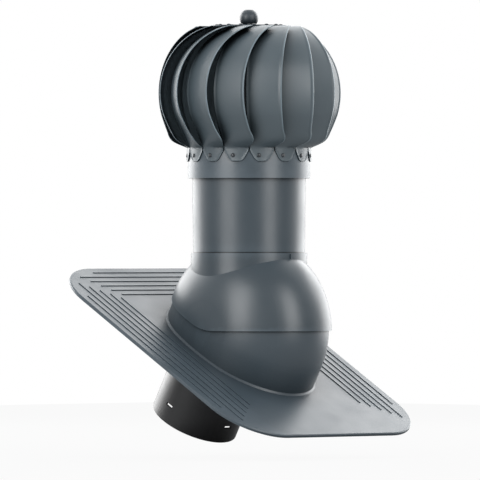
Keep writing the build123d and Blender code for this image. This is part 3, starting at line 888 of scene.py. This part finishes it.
@dataclass
class Rivets:
    """Domed rivets on the petals, on the disc's rim and over the hub.

    Sizes are in millimetres and degrees, and levels are above the swivel axis.
    """

    radius: float = 1.6
    head_radius: float = 2.9
    head_height: float = 1.5
    head_edge: float = 0.25
    dome_steps: int = 5
    tail_radius: float = 2.2
    tail_height: float = 0.9
    tail_taper: float = 0.8
    segments: int = 16
    petal_seat: float = 86.5
    collar_inner: float = 84.7
    petal_level: float = 243.0
    disc_top: float = 425.7
    disc_circle: float = 45.0
    disc_grip: float = 2.3
    hub_circle: float = 24.0
    hub_grip: float = 4.5
    hub_count: int = 4
    hub_first_azimuth: float = 45.0

    def profile(self, grip: float) -> list[tuple[float, float]]:
        """Draws a rivet, with the seat of its head at height zero.

        Args:
            grip: Thickness of the sheets that the rivet holds.

        Returns:
            Corners as (radius, height), from the tail to the top of the head.
        """
        foot = -grip - self.tail_height
        shank = [
            (0.0, foot),
            (self.tail_radius * self.tail_taper, foot),
            (self.tail_radius, -grip - self.tail_height / 2),
            (self.tail_radius, -grip),
            (self.radius, -grip),
            (self.radius, 0.0),
            (self.head_radius, 0.0),
        ]
        dome = []
        for step in range(self.dome_steps):
            angle = math.pi / 2 * step / self.dome_steps
            rise = self.head_edge + self.head_height * math.sin(angle)
            dome.append((self.head_radius * math.cos(angle), rise))
        return [*shank, *dome, (0.0, self.head_edge + self.head_height)]

    def build(self, shop: Workshop, vanes: Vanes) -> None:
        """Builds the three rings of rivets.

        Args:
            shop: Where the pieces are finished.
            vanes: Gives the count and the first azimuth.
        """
        outwards = Matrix.Translation((self.petal_seat, 0, level(self.petal_level)))
        outwards @= Matrix.Rotation(math.pi / 2, 4, "Y")
        grip = self.petal_seat - self.collar_inner
        self.ring(shop, "petal_rivets", grip, outwards, vanes.count, vanes.first_azimuth)
        rim = Matrix.Translation((self.disc_circle, 0, level(self.disc_top)))
        self.ring(shop, "disc_rivets", self.disc_grip, rim, vanes.count, vanes.first_azimuth)
        hub = Matrix.Translation((self.hub_circle, 0, level(self.disc_top)))
        self.ring(shop, "hub_rivets", self.hub_grip, hub, self.hub_count, self.hub_first_azimuth)

    def ring(
        self, shop: Workshop, node: str, grip: float, place: Matrix, count: int, first: float
    ) -> None:
        """Builds one ring of rivets.

        Args:
            shop: Where the piece is finished.
            node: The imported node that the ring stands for.
            grip: Thickness of the sheets that the rivet holds.
            place: Puts a rivet in place at azimuth zero.
            count: How many rivets the ring has.
            first: Azimuth of the first one, in degrees.
        """
        form = turned_form(self.profile(grip), self.segments, place)
        piece = shop.piece(f"{node}_domed", form, TURNED_SHARP)
        repeat_round(piece, shop.materials["rivet_metal"], count, first)
        shop.finish(piece, "rivet_metal", [node])


@dataclass
class Knob:
    """The ball on the top disc, with a small flat on top and its stud below.

    Sizes are in millimetres. The flat's height is above the ball's centre, and the others are
    above the swivel axis.
    """

    radius: float = 13.0
    centre: float = 435.5
    flat: float = 11.9
    foot: float = 425.7
    stud_radius: float = 4.0
    stud_foot: float = 416.2
    bands: int = 28
    segments: int = 56

    def build(self, shop: Workshop) -> None:
        """Builds the knob.

        Args:
            shop: Where the piece is finished.
        """
        low = math.asin((self.foot - self.centre) / self.radius)
        high = math.asin(self.flat / self.radius)
        profile = [(0.0, level(self.stud_foot)), (self.stud_radius, level(self.stud_foot))]
        profile.append((self.stud_radius, level(self.foot)))
        for band in range(self.bands + 1):
            angle = low + (high - low) * band / self.bands
            height = level(self.centre + self.radius * math.sin(angle))
            profile.append((self.radius * math.cos(angle), height))
        profile.append((0.0, level(self.centre + self.flat)))
        form = turned_form(profile, self.segments)
        piece = shop.piece("ball_knob_smooth", form, TURNED_SHARP)
        shop.finish(piece, "knob_paint", ["ball_knob"])


class Softbox(NamedTuple):
    """A rectangular lamp that faces the object, in metres and watts."""

    name: str
    place: tuple[float, float, float]
    size: tuple[float, float]
    power: float


SOFTBOXES: tuple[Softbox, ...] = (
    Softbox("left_softbox", (-2.3, -0.1, 1.0), (1.3, 2.2), 33.0),
    Softbox("right_softbox", (-0.1, -2.3, 1.0), (1.1, 2.2), 25.0),
    Softbox("left_rim_softbox", (0.12, 2.3, 0.6), (1.8, 2.0), 38.0),
    Softbox("right_rim_softbox", (2.3, 0.12, 0.6), (1.8, 2.0), 38.0),
    Softbox("rear_softbox", (1.45, 0.95, 1.5), (1.6, 1.6), 15.0),
)


@dataclass
class Studio:
    """Floor, lamps, world and camera.

    Sizes are in metres, apart from the pixel, the sensor and the centre, which are in
    millimetres.
    """

    pixel: float = 1.4
    image_width: int = 480
    sensor: float = 36.0
    distance: float = 12.0
    clip_end: float = 100.0
    azimuth: float = -45.0
    centre: tuple[float, float, float] = (-8.91, 8.91, 169.04)
    lamp_aim: float = 0.25
    floor_level: float = -0.135
    floor_reach: float = 3.0
    floor_cells: int = 8
    floor_grey: float = 0.25
    floor_roughness: float = 0.8
    floor_seen_white: float = 0.93
    sky_colour: Colour = (0.95, 0.97, 1.0)
    sky_reach: float = 1.0
    ambient: tuple[float, float] = (0.0, 1.3)
    backdrop_reach: float = 0.3
    backdrop: tuple[float, float] = (0.1, 1.0)
    slope_back: float = 0.3

    def build(self) -> None:
        """Sets up everything that isn't part of the object."""
        self.camera()
        self.floor()
        self.world()
        for softbox in SOFTBOXES:
            self.lamp(softbox)
        bpy.context.scene.view_settings.view_transform = "Standard"

    def camera(self) -> None:
        """Places the long lens that sees the object nearly without perspective."""
        turn = math.radians(self.azimuth)
        back = Vector((math.sin(turn), -math.cos(turn), 0.0))
        data = bpy.data.cameras.new("camera")
        data.sensor_width = self.sensor
        data.lens = data.sensor_width * self.distance / (self.pixel * MM * self.image_width)
        data.clip_end = self.clip_end
        camera = add_object("camera", data)
        camera.location = Vector(self.centre) * MM + back * self.distance
        camera.rotation_euler = back.to_track_quat("Z", "Y").to_euler()
        bpy.context.scene.camera = camera

    def floor(self) -> None:
        """Lays the pale floor, which keeps the object's shadow."""
        form = bmesh.new()
        cells = self.floor_cells
        bmesh.ops.create_grid(form, x_segments=cells, y_segments=cells, size=self.floor_reach)
        bmesh.ops.translate(form, verts=form.verts, vec=(0.0, 0.0, self.floor_level))
        mesh = bpy.data.meshes.new("floor")
        form.to_mesh(mesh)
        form.free()
        floor = add_object("floor", mesh)
        mesh.materials.append(self.pale())

    def pale(self) -> bpy.types.Material:
        """Makes the floor's material, nearly white to the camera and grey to other rays.

        Returns:
            The material.
        """
        pale = bpy.data.materials.new("pale_floor")
        pale.use_nodes = True
        tree = pale.node_tree
        shader = tree.nodes["Principled BSDF"]
        shader.inputs["Base Color"].default_value = (*[self.floor_grey] * 3, 1.0)
        shader.inputs["Roughness"].default_value = self.floor_roughness
        shader.inputs["Specular IOR Level"].default_value = 0.0
        white = tree.nodes.new("ShaderNodeEmission")
        seen = tree.nodes.new("ShaderNodeLightPath").outputs["Is Camera Ray"]
        share = operate(tree, "MULTIPLY", seen, self.floor_seen_white)
        both = mix_shaders(tree, share, shader.outputs[0], white.outputs[0])
        tree.links.new(both, tree.nodes["Material Output"].inputs["Surface"])
        return pale

    def world(self) -> None:
        """Sets a white backdrop and a plain level of light from all round."""
        world = bpy.data.worlds.new("studio")
        world.use_nodes = True
        bpy.context.scene.world = world
        tree = world.node_tree
        plain = tree.nodes["Background"]
        plain.inputs["Color"].default_value = (*self.sky_colour, 1.0)
        ambient = self.slope(tree, (0.0, 0.0, 1.0), self.sky_reach, self.ambient)
        tree.links.new(ambient, plain.inputs["Strength"])

        path = tree.nodes.new("ShaderNodeLightPath")
        seen = path.outputs["Is Camera Ray"]
        white = tree.nodes.new("ShaderNodeBackground")
        white.inputs["Color"].default_value = (1.0, 1.0, 1.0, 1.0)
        turn = math.radians(self.azimuth)
        behind = (-math.sin(turn), math.cos(turn), 0.0)
        backdrop = self.slope(tree, behind, self.backdrop_reach, self.backdrop)
        tree.links.new(operate(tree, "MAXIMUM", seen, backdrop), white.inputs["Strength"])
        for ray in ("Is Glossy Ray", "Is Transmission Ray"):
            seen = operate(tree, "MAXIMUM", seen, path.outputs[ray])
        both = mix_shaders(tree, seen, plain.outputs[0], white.outputs[0])
        tree.links.new(both, tree.nodes["World Output"].inputs["Surface"])

    def slope(
        self, tree: Tree, way: tuple[float, float, float], reach: float, ends: tuple[float, float]
    ) -> Socket:
        """Adds a level of light that grows along one way through the room.

        Args:
            tree: The world's node tree.
            way: The direction in which the light grows.
            reach: The part of the way over which it grows, from 0 to 1.
            ends: The lowest and the highest level.

        Returns:
            The socket with the level.
        """
        along = tree.nodes.new("ShaderNodeVectorMath")
        along.operation = "DOT_PRODUCT"
        along.inputs[1].default_value = way
        sky = tree.nodes.new("ShaderNodeTexCoord").outputs["Generated"]
        tree.links.new(sky, along.inputs[0])
        return ramp(tree, along.outputs["Value"], (-self.slope_back * reach, reach), ends)

    def lamp(self, softbox: Softbox) -> None:
        """Adds a softbox that faces the object.

        Args:
            softbox: Where it stands, its size and its power.
        """
        data = bpy.data.lights.new(softbox.name, "AREA")
        data.shape = "RECTANGLE"
        data.size, data.size_y = softbox.size
        data.energy = softbox.power
        lamp = add_object(softbox.name, data)
        lamp.location = softbox.place
        aim = Vector(softbox.place) - Vector((0.0, 0.0, self.lamp_aim))
        lamp.rotation_euler = aim.to_track_quat("Z", "Y").to_euler()


def corners(bounds: tuple[Vector, Vector]) -> list[list[float]]:
    """Returns a box as plain lists of numbers."""
    return [[float(value) for value in corner] for corner in bounds]


def main() -> None:
    """Builds every assembly in order."""
    logging.basicConfig(level=logging.INFO, format="%(name)s: %(message)s")
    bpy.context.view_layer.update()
    shop = Workshop()
    shop.dress_nodes()
    vanes = Vanes()
    vanes.build(shop)
    Rivets().build(shop, vanes)
    Knob().build(shop)
    Studio().build()


if __name__ == "__main__":
    main()
